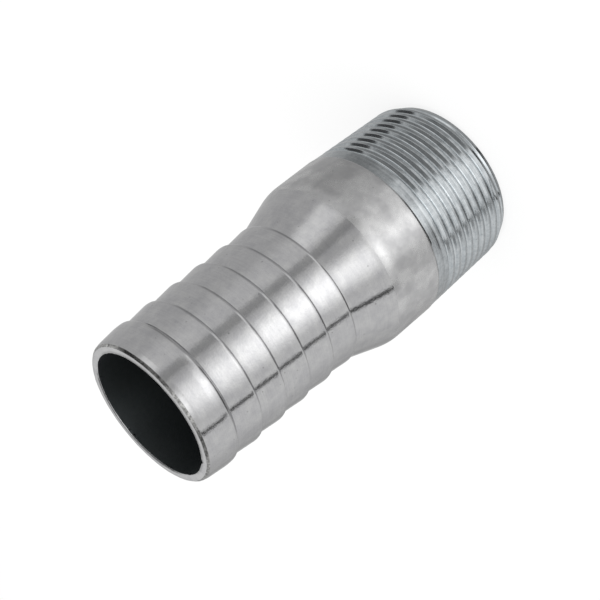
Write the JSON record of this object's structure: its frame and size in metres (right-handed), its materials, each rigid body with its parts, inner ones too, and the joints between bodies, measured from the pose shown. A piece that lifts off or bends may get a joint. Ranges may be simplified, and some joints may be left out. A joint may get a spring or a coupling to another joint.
{
  "type": "hose barb tail",
  "caption": "Plated steel hose tail: male taper pipe thread, plain pipe band, swaged conical neck and barbed hose shank with a bore open from end to end.",
  "frame": {"origin": "centre of the threaded end's face, on the bore axis", "axes": "+Z along the bore, from the threaded end to the open end of the barbed shank; X and Y are across it and alike"},
  "size_m": [0.0422, 0.0422, 0.0922],
  "materials": {
    "zinc_plated_steel": "bright zinc plating on turned and swaged steel, satin"
  },
  "bodies": {
    "root": {"hose_tail": "zinc_plated_steel"}
  },
  "joints": []
}
